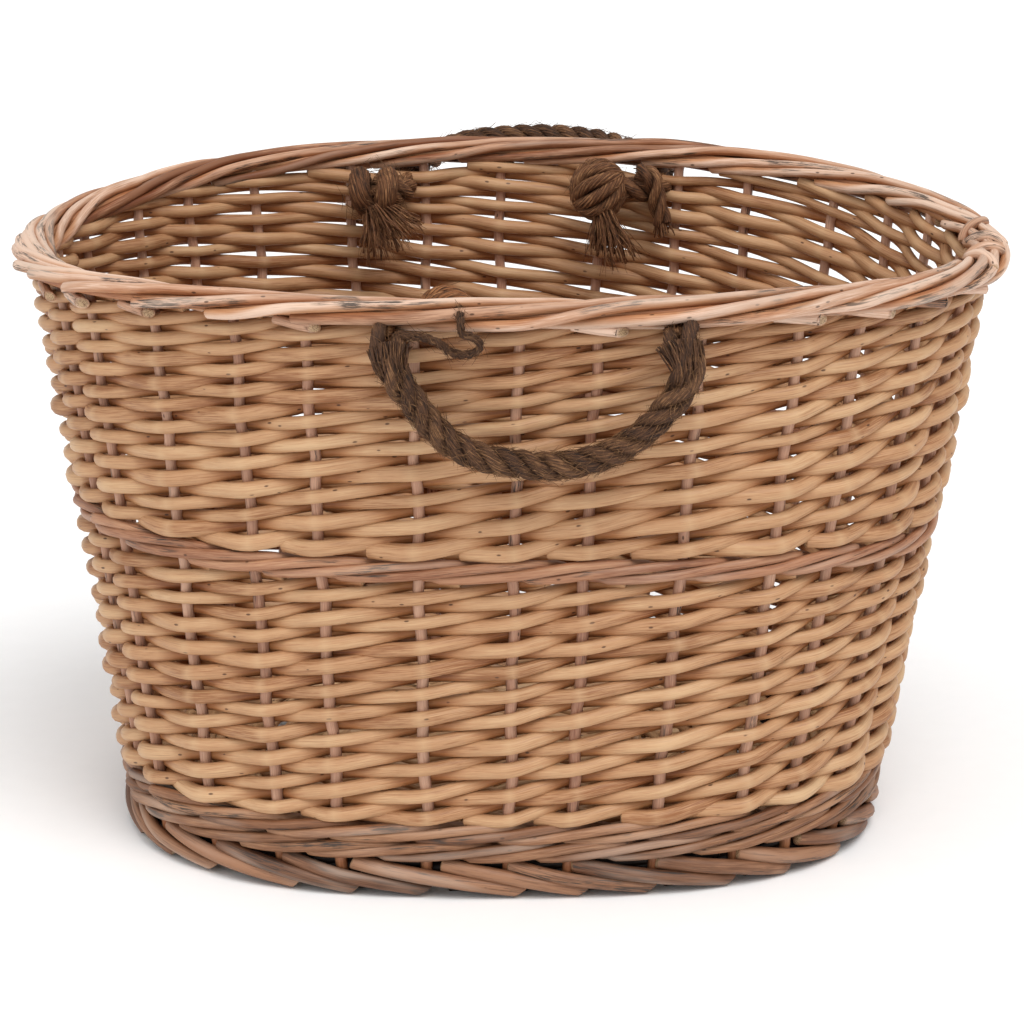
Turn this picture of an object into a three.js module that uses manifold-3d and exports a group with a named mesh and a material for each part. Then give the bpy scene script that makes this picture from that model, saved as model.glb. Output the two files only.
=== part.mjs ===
// Oval wicker log basket: willow stakes, woven wall, rolled rim, foot border, slatted base and two rope handles.
// Millimetres, +Z up. The origin is the centre of the footprint, and +X runs along the basket's length.
import * as THREE from "three";
import { mergeVertices } from "three/addons/utils/BufferGeometryUtils.js";
import Module from "manifold-3d";

const wasm = await Module();
wasm.setup();

// Driving dimensions.
const RIM_LENGTH = 595;
const RIM_DEPTH = 431;
const HEIGHT = 375;
const FOOT_LENGTH = 462;
const FOOT_DEPTH = 344;
const FOOT_SHIFT = -5; // the basket leans: its foot sits this far along from under its rim
const RIM_DIP = 15; // how far the rim drops at the two ends
const WALE_DIP_LEFT = -4; // how far the middle wale drops at the left end, and at the right end
const WALE_DIP_RIGHT = 14;
const FOOT_SQUARENESS = 2.6; // 2 is an ellipse, more is squarer
const RIM_SQUARENESS = 2.15;
const GAP = 0.35; // clearance between touching pieces

// Heights of the bands of the wall.
const FOOT_TOP = 24;
const BOTTOM_WALE_TOP = 46;
const MIDDLE_WALE_BOTTOM = 197;
const MIDDLE_WALE_TOP = 212;
const WALL_TOP = 361;

// Offsets of the bands from the middle of the wall, where the stakes run.
const WEAVE_HALF = 9;
const WALE_INNER = 10;
const WALE_OUTER = 11;
const RIM_INNER = 9;
const RIM_OVERHANG = 16.5;
const FOOT_INNER = 8;
const FOOT_OVERHANG = 10;

const STAKE_COUNT = 32;
const STAKE_BUTT_RADIUS = 3.6;
const STAKE_TIP_RADIUS = 3.1;
const STAKE_WANDER = 1.3; // degrees that a stake strays from even spacing
const RING_SEGMENTS = 48;
const STAKE_SIDES = 6;
const LATHE_RADIUS = 1000; // radius at which a ring's section is turned before it is laid on the oval

const ROPE_DIAMETER = 16;
const HANDLE_LEFT = -68;
const HANDLE_RIGHT = 96;
const HANDLE_HEIGHT = 347;
const HINGE_OUT = 219; // distance of the handle's hinge line from the middle of the basket
const BACK_HANDLE_LIFT = 100; // degrees that the back handle stands up from hanging
const KNOT_RADII = { x: 18, y: 15, z: 20 };
const KNOT_CLEARANCE = 1;
const STUB_CLEARANCE = 2; // room between the loop's round end and the stub of rope, for the swing

const BASE_BOTTOM = 24;
const BASE_TOP = 40;
const LONG_STICK_RADIUS = 3.2;
const CROSS_STICK_RADIUS = 5;

const FINISH = {
  stake: { color: 0x9c6b4b, roughness: 0.62, metalness: 0 },
  weave: { color: 0xc69b6d, roughness: 0.58, metalness: 0 },
  wale: { color: 0xb98a66, roughness: 0.6, metalness: 0 },
  rim: { color: 0xc9a184, roughness: 0.58, metalness: 0 },
  foot: { color: 0x9b6f52, roughness: 0.66, metalness: 0 },
  base: { color: 0xa97d58, roughness: 0.66, metalness: 0 },
  rope: { color: 0x5f4431, roughness: 0.93, metalness: 0 },
};

const basket = new THREE.Group();

function addPiece(name, geometry, finish) {
  const mesh = new THREE.Mesh(geometry, new THREE.MeshStandardMaterial(finish));
  mesh.name = name;
  basket.add(mesh);
  return mesh;
}

// The oval wall ---------------------------------------------------------------------------------

// Middle, half length, half depth and squareness of the oval at a height.
function wallSection(height) {
  const rise = height / WALL_TOP;
  return {
    middle: FOOT_SHIFT * Math.max(0, 1 - rise),
    a: THREE.MathUtils.lerp(FOOT_LENGTH / 2 - FOOT_OVERHANG, RIM_LENGTH / 2 - RIM_OVERHANG, rise),
    b: THREE.MathUtils.lerp(FOOT_DEPTH / 2 - FOOT_OVERHANG, RIM_DEPTH / 2 - RIM_OVERHANG, rise),
    n: THREE.MathUtils.lerp(FOOT_SQUARENESS, RIM_SQUARENESS, rise),
  };
}

// Distance of the middle of the wall from the long middle line, at a place along the basket.
function wallDepth(x, height) {
  const { middle, a, b, n } = wallSection(height);
  return b * (1 - Math.abs((x - middle) / a) ** n) ** (1 / n);
}

// How far the bands drop at an angle round the oval: not at all at the foot, then with the middle wale,
// then with the rim.
function bandDip(angle, height) {
  const c = Math.cos(angle);
  const end = Math.abs(c) ** 3;
  const waleDip = (c > 0 ? WALE_DIP_RIGHT : WALE_DIP_LEFT) * end;
  const lower = THREE.MathUtils.clamp(
    (height - BOTTOM_WALE_TOP) / (MIDDLE_WALE_BOTTOM - BOTTOM_WALE_TOP), 0, 1,
  );
  const upper = Math.max(0, (height - MIDDLE_WALE_TOP) / (WALL_TOP - MIDDLE_WALE_TOP));
  return waleDip * lower + (RIM_DIP * end - waleDip) * upper;
}

// A point on the wall: angle round the oval, height, and distance outwards from the wall's middle.
function wallPoint(angle, height, out = 0) {
  const { middle, a, b, n } = wallSection(height);
  const c = Math.cos(angle);
  const s = Math.sin(angle);
  const reach = (Math.abs(c) ** n + Math.abs(s) ** n) ** (-1 / n);
  const x = a * c * reach;
  const y = b * s * reach;
  const slopeX = (Math.sign(x) * Math.abs(x / a) ** (n - 1)) / a;
  const slopeY = (Math.sign(y) * Math.abs(y / b) ** (n - 1)) / b;
  const slope = Math.hypot(slopeX, slopeY);
  return new THREE.Vector3(
    middle + x + (out * slopeX) / slope,
    y + (out * slopeY) / slope,
    height - bandDip(angle, height),
  );
}

// A closed ring that follows the oval. Its section is a list of [distance out, height] corners.
function ovalRing(section) {
  const profile = section.map(([out, height]) => new THREE.Vector2(LATHE_RADIUS + out, height));
  profile.push(profile[0].clone());
  const ring = new THREE.LatheGeometry(profile, RING_SEGMENTS).rotateX(Math.PI / 2);
  const position = ring.getAttribute("position");
  for (let i = 0; i < position.count; i += 1) {
    const x = position.getX(i);
    const y = position.getY(i);
    const point = wallPoint(Math.atan2(y, x), position.getZ(i), Math.hypot(x, y) - LATHE_RADIUS);
    position.setXYZ(i, point.x, point.y, point.z);
  }
  return ring;
}

function bandSection(inner, outer, bottom, top) {
  return [
    [-inner, bottom],
    [outer, bottom],
    [outer, top],
    [-inner, top],
  ];
}

// Solids ----------------------------------------------------------------------------------------

function solid(geometry) {
  const bare = geometry.clone();
  bare.deleteAttribute("normal");
  bare.deleteAttribute("uv");
  const merged = mergeVertices(bare, 1e-3);
  const vertProperties = merged.getAttribute("position").array;
  const triVerts = new Uint32Array(merged.index.array);
  return new wasm.Manifold(new wasm.Mesh({ numProp: 3, vertProperties, triVerts }));
}

function geometryOf(manifold) {
  const mesh = manifold.getMesh();
  const geometry = new THREE.BufferGeometry();
  geometry.setAttribute("position", new THREE.BufferAttribute(new Float32Array(mesh.vertProperties), 3));
  geometry.setIndex(new THREE.BufferAttribute(new Uint32Array(mesh.triVerts), 1));
  return geometry;
}

// A rod or a drilling between two points.
function rod(from, to, radiusFrom, radiusTo = radiusFrom, sides = 6) {
  const along = to.clone().sub(from);
  const length = along.length();
  const turn = new THREE.Quaternion().setFromUnitVectors(new THREE.Vector3(0, 1, 0), along.normalize());
  const middle = from.clone().add(to).multiplyScalar(0.5);
  return new THREE.CylinderGeometry(radiusTo, radiusFrom, length, sides)
    .applyQuaternion(turn)
    .translate(middle.x, middle.y, middle.z);
}

// Stakes ----------------------------------------------------------------------------------------

function stakeAngle(index) {
  const wander = STAKE_WANDER * Math.sin(2.03 * index + 3.7);
  return THREE.MathUtils.degToRad((index * 360) / STAKE_COUNT + wander);
}

// The stake, or its drilling when it is made wider.
function stake(index, widen = 0) {
  const angle = stakeAngle(index);
  const foot = wallPoint(angle, FOOT_TOP + GAP + 0.5);
  const head = wallPoint(angle, WALL_TOP - GAP);
  const reach = head.clone().sub(foot).normalize().multiplyScalar(widen > 0 ? 12 : 0);
  const butt = STAKE_BUTT_RADIUS + widen;
  const tip = STAKE_TIP_RADIUS + widen;
  return rod(foot.sub(reach), head.add(reach), butt, tip, STAKE_SIDES);
}

for (let i = 0; i < STAKE_COUNT; i += 1) {
  addPiece(`stake_${String(i + 1).padStart(2, "0")}`, stake(i), FINISH.stake);
}

const stakeDrillings = wasm.Manifold.union(
  Array.from({ length: STAKE_COUNT }, (_, i) => solid(stake(i, 0.6))),
);

// Wall bands ------------------------------------------------------------------------------------

// Holes under the rim for the two rope handles.
function ropeHoles() {
  const holes = [HANDLE_LEFT, HANDLE_RIGHT].map((x) => {
    const back = new THREE.Vector3(x, RIM_DEPTH / 2, HANDLE_HEIGHT);
    const front = new THREE.Vector3(x, -RIM_DEPTH / 2, HANDLE_HEIGHT);
    return solid(rod(front, back, ROPE_DIAMETER / 2 + 0.7, ROPE_DIAMETER / 2 + 0.7, 12));
  });
  return wasm.Manifold.union(holes);
}

function wovenBand(section) {
  return solid(ovalRing(section)).subtract(stakeDrillings);
}

addPiece(
  "bottom_wale",
  geometryOf(wovenBand(bandSection(WALE_INNER, WALE_OUTER, FOOT_TOP + GAP, BOTTOM_WALE_TOP))),
  FINISH.wale,
);
addPiece(
  "lower_randing",
  geometryOf(wovenBand(bandSection(WEAVE_HALF, WEAVE_HALF, BOTTOM_WALE_TOP + GAP, MIDDLE_WALE_BOTTOM))),
  FINISH.weave,
);
addPiece(
  "middle_wale",
  geometryOf(
    wovenBand(bandSection(WALE_INNER, WALE_OUTER, MIDDLE_WALE_BOTTOM + GAP, MIDDLE_WALE_TOP)),
  ),
  FINISH.wale,
);
addPiece(
  "upper_randing",
  geometryOf(
    wovenBand(bandSection(WEAVE_HALF, WEAVE_HALF, MIDDLE_WALE_TOP + GAP, WALL_TOP)).subtract(ropeHoles()),
  ),
  FINISH.weave,
);

// Rim and foot ----------------------------------------------------------------------------------

function rimSection() {
  const under = WALL_TOP + GAP;
  return [
    [2 - RIM_INNER, under],
    [RIM_OVERHANG - 5, under],
    [RIM_OVERHANG - 1, under + 3],
    [RIM_OVERHANG, under + 7],
    [RIM_OVERHANG - 3, HEIGHT - 2],
    [RIM_OVERHANG - 9, HEIGHT],
    [4 - RIM_INNER, HEIGHT],
    [-RIM_INNER, HEIGHT - 5],
  ];
}

function footSection() {
  return [
    [-FOOT_INNER, 0],
    [FOOT_OVERHANG, 0],
    [FOOT_OVERHANG, FOOT_TOP],
    [-FOOT_INNER, FOOT_TOP],
  ];
}

addPiece("rim_border", ovalRing(rimSection()), FINISH.rim);
addPiece("foot_border", ovalRing(footSection()), FINISH.foot);

// Base ------------------------------------------------------------------------------------------

const BASE_MIDDLE = (BASE_BOTTOM + BASE_TOP) / 2;
const BASE_CENTRE = wallSection(BASE_MIDDLE).middle;
const LONG_STICKS = [-22, 0, 22]; // distances from the middle line
const CROSS_STICKS = [-125, -75, -25, 25, 75, 125];
const BASE_INSET = WALE_INNER + 1;

// How far the base reaches at a distance from one of its middle lines.
function baseReach(axis, offset, inset) {
  const { a, b, n } = wallSection(BASE_MIDDLE);
  const half = axis === "x" ? a - inset : b - inset;
  const across = axis === "x" ? b - inset : a - inset;
  return half * (1 - Math.abs(offset / across) ** n) ** (1 / n);
}

function longStick(y, widen = 0) {
  const reach = baseReach("x", y, BASE_INSET + 3) + (widen > 0 ? 20 : 0);
  const from = new THREE.Vector3(BASE_CENTRE - reach, y, BASE_MIDDLE);
  const to = new THREE.Vector3(BASE_CENTRE + reach, y, BASE_MIDDLE);
  return rod(from, to, LONG_STICK_RADIUS + widen);
}

function crossStick(x, widen = 0) {
  const reach = baseReach("y", x, BASE_INSET + 3) + (widen > 0 ? 20 : 0);
  const from = new THREE.Vector3(BASE_CENTRE + x, -reach, BASE_MIDDLE);
  const to = new THREE.Vector3(BASE_CENTRE + x, reach, BASE_MIDDLE);
  return rod(from, to, CROSS_STICK_RADIUS + widen);
}

// The oval plate that the base weaving fills.
function basePlate() {
  const outline = new THREE.Shape();
  for (let i = 0; i < RING_SEGMENTS; i += 1) {
    const angle = (i / RING_SEGMENTS) * 2 * Math.PI;
    const edge = wallPoint(angle, BASE_MIDDLE, -BASE_INSET - 2 * GAP);
    if (i === 0) outline.moveTo(edge.x, edge.y);
    else outline.lineTo(edge.x, edge.y);
  }
  outline.closePath();
  const plate = new THREE.ExtrudeGeometry(outline, { depth: BASE_TOP - BASE_BOTTOM, bevelEnabled: false });
  return plate.translate(0, 0, BASE_BOTTOM);
}

const longDrillings = wasm.Manifold.union(LONG_STICKS.map((y) => solid(longStick(y, 0.4))));
const crossDrillings = wasm.Manifold.union(CROSS_STICKS.map((x) => solid(crossStick(x, 0.4))));

LONG_STICKS.forEach((y, i) => {
  addPiece(`long_base_stick_${i + 1}`, longStick(y), FINISH.base);
});
CROSS_STICKS.forEach((x, i) => {
  const slit = solid(crossStick(x)).subtract(longDrillings);
  addPiece(`cross_base_stick_${i + 1}`, geometryOf(slit), FINISH.base);
});
addPiece(
  "base_weave",
  geometryOf(solid(basePlate()).subtract(longDrillings).subtract(crossDrillings)),
  FINISH.base,
);

// Rope handles ----------------------------------------------------------------------------------

// The rope's route in its own plane: [distance along the basket, distance from the hinge line].
const HANDLE_ROUTE = [
  [-68, 0],
  [-66.5, 7],
  [-63, 15],
  [-58, 23],
  [-52.5, 30.5],
  [-47, 38.5],
  [-40, 46.5],
  [-32, 53.5],
  [-22, 59],
  [-11, 62.5],
  [0, 64.5],
  [11.5, 66],
  [22.5, 66.5],
  [33.5, 65.5],
  [44.5, 63],
  [55.5, 59],
  [66.5, 53],
  [76, 45.5],
  [84.5, 36.5],
  [92, 27],
  [97, 18],
  [98.5, 9],
  [96, 0],
];
const ROPE_SIDES = 8;
const ROPE_STEPS = 28;

function roundSection(radius, sides) {
  const section = new THREE.Shape();
  for (let i = 0; i < sides; i += 1) {
    const angle = (i / sides) * 2 * Math.PI;
    if (i === 0) section.moveTo(radius, 0);
    else section.lineTo(radius * Math.cos(angle), radius * Math.sin(angle));
  }
  section.closePath();
  return section;
}

// A rope handle with round ends on the hinge line, lifted by an angle from hanging.
// Side is -1 for the front of the basket and 1 for the back.
function ropeHandle(side, lift) {
  const swing = THREE.MathUtils.degToRad(lift);
  const place = ([along, drop]) =>
    new THREE.Vector3(
      along,
      side * (HINGE_OUT + drop * Math.sin(swing)),
      HANDLE_HEIGHT - drop * Math.cos(swing),
    );
  const points = HANDLE_ROUTE.map(place);
  const path = new THREE.CatmullRomCurve3(points);
  const section = roundSection(ROPE_DIAMETER / 2, ROPE_SIDES);
  const tube = new THREE.ExtrudeGeometry(section, {
    steps: ROPE_STEPS,
    extrudePath: path,
    bevelEnabled: false,
  });
  const ends = [points[0], points.at(-1)].map((point) =>
    solid(new THREE.SphereGeometry(ROPE_DIAMETER / 2, ROPE_SIDES, 6).translate(point.x, point.y, point.z)),
  );
  return geometryOf(wasm.Manifold.union([solid(tube), ...ends]));
}

addPiece("front_handle_rope", ropeHandle(-1, 0), FINISH.rope);
addPiece("back_handle_rope", ropeHandle(1, BACK_HANDLE_LIFT), FINISH.rope);

// Knots -----------------------------------------------------------------------------------------

// The stopper knot inside the wall, beside the hole, with the rope that leads from it out through the wall
// to the hinge line.
function stopperKnot(side, x, shift, lower) {
  const height = HANDLE_HEIGHT - lower;
  const inner = wallDepth(x + shift, height - KNOT_RADII.z) - WEAVE_HALF;
  const centre = new THREE.Vector3(x + shift, side * (inner - KNOT_RADII.y - KNOT_CLEARANCE), height);
  const ball = new THREE.SphereGeometry(1, 10, 6)
    .scale(KNOT_RADII.x, KNOT_RADII.y, KNOT_RADII.z)
    .translate(centre.x, centre.y, centre.z);
  const inside = new THREE.Vector3(x, centre.y, HANDLE_HEIGHT);
  const outside = new THREE.Vector3(x, side * (HINGE_OUT - ROPE_DIAMETER / 2 - STUB_CLEARANCE), HANDLE_HEIGHT);
  const radius = ROPE_DIAMETER / 2;
  const shank = rod(inside, outside, radius, radius, ROPE_SIDES);
  const lead = rod(inside, centre, radius, radius, ROPE_SIDES);
  const corner = new THREE.SphereGeometry(radius, ROPE_SIDES, 6).translate(inside.x, inside.y, inside.z);
  return geometryOf(wasm.Manifold.union([ball, shank, lead, corner].map(solid)));
}

addPiece("front_left_knot", stopperKnot(-1, HANDLE_LEFT, 32, -8), FINISH.rope);
addPiece("front_right_knot", stopperKnot(-1, HANDLE_RIGHT, 0, 14), FINISH.rope);
addPiece("back_left_knot", stopperKnot(1, HANDLE_LEFT, -19, -2), FINISH.rope);
addPiece("back_right_knot", stopperKnot(1, HANDLE_RIGHT, -39, -2), FINISH.rope);

export default basket;
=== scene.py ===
"""Wicker log basket: peeled willow rods woven round upright stakes, with two swinging coir rope handles."""

from math import cos, degrees, exp, pi, radians, sin, sqrt, tau

import bpy
import numpy as np
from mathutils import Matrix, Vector


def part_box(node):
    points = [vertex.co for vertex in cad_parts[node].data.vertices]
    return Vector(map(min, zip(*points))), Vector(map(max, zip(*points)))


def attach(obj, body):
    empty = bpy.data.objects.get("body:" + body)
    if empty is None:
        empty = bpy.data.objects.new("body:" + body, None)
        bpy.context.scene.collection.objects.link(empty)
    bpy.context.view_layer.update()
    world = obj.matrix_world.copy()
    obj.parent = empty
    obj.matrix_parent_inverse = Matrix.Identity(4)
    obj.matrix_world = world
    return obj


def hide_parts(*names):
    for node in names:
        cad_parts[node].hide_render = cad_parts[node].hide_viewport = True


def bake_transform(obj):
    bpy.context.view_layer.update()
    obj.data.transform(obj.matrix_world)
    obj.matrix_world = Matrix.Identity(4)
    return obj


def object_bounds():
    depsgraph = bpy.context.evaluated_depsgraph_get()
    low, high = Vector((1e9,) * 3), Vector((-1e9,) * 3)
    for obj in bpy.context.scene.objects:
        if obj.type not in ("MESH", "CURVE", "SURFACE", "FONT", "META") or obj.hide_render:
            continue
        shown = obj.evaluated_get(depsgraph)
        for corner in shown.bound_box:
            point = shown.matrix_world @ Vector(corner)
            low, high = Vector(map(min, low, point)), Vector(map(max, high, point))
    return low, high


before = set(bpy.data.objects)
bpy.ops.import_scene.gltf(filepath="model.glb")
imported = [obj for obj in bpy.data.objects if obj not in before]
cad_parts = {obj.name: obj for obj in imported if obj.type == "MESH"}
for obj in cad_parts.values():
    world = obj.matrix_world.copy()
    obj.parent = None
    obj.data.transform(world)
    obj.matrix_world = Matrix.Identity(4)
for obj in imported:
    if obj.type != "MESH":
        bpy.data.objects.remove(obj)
cad_low, cad_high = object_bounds()

# ---- Sizes, in metres. The wall, the rope holes and the rope route are those of the CAD model.

MM = 0.001

# The wall: half its length and half its depth at the foot and at the rim, and how square its ovals are.
FOOT_HALF = (0.221, 0.162)
RIM_HALF = (0.281, 0.199)
FOOT_SQUARENESS = 2.6
RIM_SQUARENESS = 2.15
FOOT_SHIFT = -0.005  # the foot's middle, to the left of the rim's
RIM_DIP = 0.015  # how far the rim and the middle wale drop towards the two ends
WALE_DIP_LEFT = -0.004
WALE_DIP_RIGHT = 0.014
FRONT_RIM_DIP = 0.003  # at the middle of the front the rim's rods sag and those of the middle wale rise
FRONT_WALE_RISE = 0.003

FOOT_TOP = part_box("foot_border")[1].z
BOTTOM_WALE_TOP = 0.046
MIDDLE_WALE_BOTTOM = 0.197
MIDDLE_WALE_TOP = 0.212
WALL_TOP = 0.361
RIM_TOP = cad_high.z

STAKE_COUNT = 32
STAKE_WANDER = 1.3  # degrees
STAKE_BUTT_RADIUS = 3.6 * MM
STAKE_TIP_RADIUS = 3.1 * MM

ROPE_DIAMETER = 0.016
HANDLE_LEFT = -0.068
HANDLE_RIGHT = 0.096
HANDLE_HEIGHT = 0.347
HINGE_OUT = 0.219
BACK_HANDLE_LIFT = radians(100)  # from hanging
HANDLE_ROUTE = [  # along the basket, and away from the line between the holes
    (-0.068, 0.0), (-0.0665, 0.007), (-0.063, 0.015), (-0.058, 0.023), (-0.0525, 0.0305),
    (-0.047, 0.0385), (-0.04, 0.0465), (-0.032, 0.0535), (-0.022, 0.059), (-0.011, 0.0625),
    (0.0, 0.0645), (0.0115, 0.066), (0.0225, 0.0665), (0.0335, 0.0655), (0.0445, 0.063),
    (0.0555, 0.059), (0.0665, 0.053), (0.076, 0.0455), (0.0845, 0.0365), (0.092, 0.027),
    (0.097, 0.018), (0.0985, 0.009), (0.096, 0.0),
]

# ---- Camera

CAMERA_PLACE = Vector((0.0, -2.40, 0.94))
CAMERA_TARGET = Vector((0.0014, 0.0, 0.185))
CAMERA_LENS = 144
CAMERA_SENSOR = 36


def linked(name, data):
    """A new object in the scene."""
    obj = bpy.data.objects.new(name, data)
    bpy.context.collection.objects.link(obj)
    return obj


def add_camera():
    camera = linked("camera", bpy.data.cameras.new("camera"))
    camera.data.lens = CAMERA_LENS
    camera.data.sensor_width = CAMERA_SENSOR
    camera.location = CAMERA_PLACE
    camera.rotation_euler = (CAMERA_TARGET - CAMERA_PLACE).to_track_quat("-Z", "Y").to_euler()
    bpy.context.scene.camera = camera

# ---- The wall's shape


def band_dip(turn, height):
    """How far the woven bands drop, first with the middle wale and above it with the rim."""
    c = np.cos(turn)
    end = np.abs(c) ** 3
    front = np.maximum(0, -np.sin(turn)) ** 3
    wale_dip = np.where(c > 0, WALE_DIP_RIGHT, WALE_DIP_LEFT) * end - FRONT_WALE_RISE * front
    rim_dip = RIM_DIP * end + FRONT_RIM_DIP * front
    lower = np.clip((height - BOTTOM_WALE_TOP) / (MIDDLE_WALE_BOTTOM - BOTTOM_WALE_TOP), 0, 1)
    upper = np.maximum(0, (height - MIDDLE_WALE_TOP) / (WALL_TOP - MIDDLE_WALE_TOP))
    return wale_dip * lower + (rim_dip - wale_dip) * upper


def wall_oval(height):
    """The wall's oval at a height: half its length and depth, its squareness, and where its middle is."""
    rise = height / WALL_TOP
    a, b = (foot + (rim - foot) * rise for foot, rim in zip(FOOT_HALF, RIM_HALF))
    n = FOOT_SQUARENESS + (RIM_SQUARENESS - FOOT_SQUARENESS) * rise
    return a, b, n, FOOT_SHIFT * np.maximum(0, 1 - rise)


def oval_place(turn, a, b, n):
    """A squared oval's points at some angles about its middle."""
    c, s = np.cos(turn), np.sin(turn)
    reach = (np.abs(c) ** n + np.abs(s) ** n) ** (-1 / n)
    return a * c * reach, b * s * reach


def wall_point(turn, height, out=0.0):
    """Points of the wall's middle surface at an angle about the basket, a height and a distance outward."""
    turn, height, out = np.broadcast_arrays(*(np.asarray(v, float) for v in (turn, height, out)))
    a, b, n, middle = wall_oval(height)
    x, y = oval_place(turn, a, b, n)
    across = np.sign(x) * np.abs(x / a) ** (n - 1) / a
    along = np.sign(y) * np.abs(y / b) ** (n - 1) / b
    length = np.hypot(across, along)
    return np.stack(
        [middle + x + out * across / length, y + out * along / length, height - band_dip(turn, height)], -1
    )


def outward(turn, height):
    """The level direction straight out of the wall."""
    return unit(wall_point(turn, height, 0.01) - wall_point(turn, height))


def wall_depth(x, height):
    """Distance of the wall's middle from the long middle line, at a place along the basket."""
    a, b, n, middle = wall_oval(height)
    return b * (1 - abs((x - middle) / a) ** n) ** (1 / n)


def stake_turn(number):
    """The angle about the basket of a stake, or of a place between two stakes. Stakes stand unevenly."""
    lap = np.arange(-STAKE_COUNT, 3 * STAKE_COUNT + 1)
    wander = STAKE_WANDER * np.sin(2.03 * (lap % STAKE_COUNT) + 3.7)
    turns = np.radians(lap * 360 / STAKE_COUNT + wander)
    return np.interp(number, lap, turns)


# ---- Rods: round rods swept along a path and gathered into one mesh


def unit(vectors):
    return vectors / np.linalg.norm(vectors, axis=-1, keepdims=True)


def travelled(path):
    """The distance along a path to each of its points."""
    return np.concatenate([[0], np.cumsum(np.linalg.norm(np.diff(path, axis=0), axis=1))])


def smooth_noise(rng, positions, wave, size):
    """A gentle wander of about the given size, whose waves are about the given length."""
    total = np.zeros(len(positions))
    for stretch in (1.0, 1.9, 3.1):
        total += np.sin(positions * tau * stretch / wave + rng.uniform(0, tau)) / stretch
    return total * size / 1.3


def resampled(points, step):
    """A smooth curve through the points, as places one step apart."""
    points = np.asarray(points, float)
    padded = np.vstack([2 * points[0] - points[1], points, 2 * points[-1] - points[-2]])
    fine = []
    for p0, p1, p2, p3 in zip(padded, padded[1:], padded[2:], padded[3:]):
        for t in np.linspace(0, 1, 12, endpoint=False):
            fine.append(
                0.5 * (2 * p1 + (p2 - p0) * t + (2 * p0 - 5 * p1 + 4 * p2 - p3) * t**2
                       + (3 * p1 - p0 - 3 * p2 + p3) * t**3)
            )
    fine = np.array(fine + [points[-1]])
    along = travelled(fine)
    places = np.linspace(0, along[-1], max(3, round(along[-1] / step) + 1))
    return np.stack([np.interp(places, along, fine[:, k]) for k in range(3)], -1)


def turning_frames(path, reference):
    """Directions along, beside and above a path, that turn about it as little as they can."""
    tangent = unit(np.gradient(path, axis=0))
    side = np.empty_like(tangent)
    last = np.asarray(reference, float)
    for i, ahead in enumerate(tangent):
        last = last - ahead * (last @ ahead)
        last = last / np.linalg.norm(last)
        side[i] = last
    return tangent, side, np.cross(tangent, side)


# How painted shade darkens a rod's sides away from where it faces: where that begins, with 1 straight
# ahead, and how dark.
EDGE = (0.62, 0.50)
RIM_EDGE = (0.74, 1.0)  # painted shade, where the rods of the border lie in each other's shade
HIDDEN_EDGE = (0.10, 0.95)  # painted shade on a weaving rod, only where another rod covers it
EDGE_FADE = 0.6  # the share of facing over which the painted shade grows
YARN_SHADE = 0.8  # how dark the painted shade in the grooves between a strand's yarns is
INSIDE_SHADE = 0.2  # how much warmer and darker the painted shade on the inside of the wall is

# A cut end's three rings, outermost first: how far past the end and how wide, in radii, and how much each
# looks like cut wood.
CUT_RINGS = np.array([(0.30, 0.0, 1.0), (0.26, 0.55, 1.0), (0.12, 0.90, 0.3)])
GRAIN_REACH = 40  # each rod's grain starts somewhere in this many metres


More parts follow.
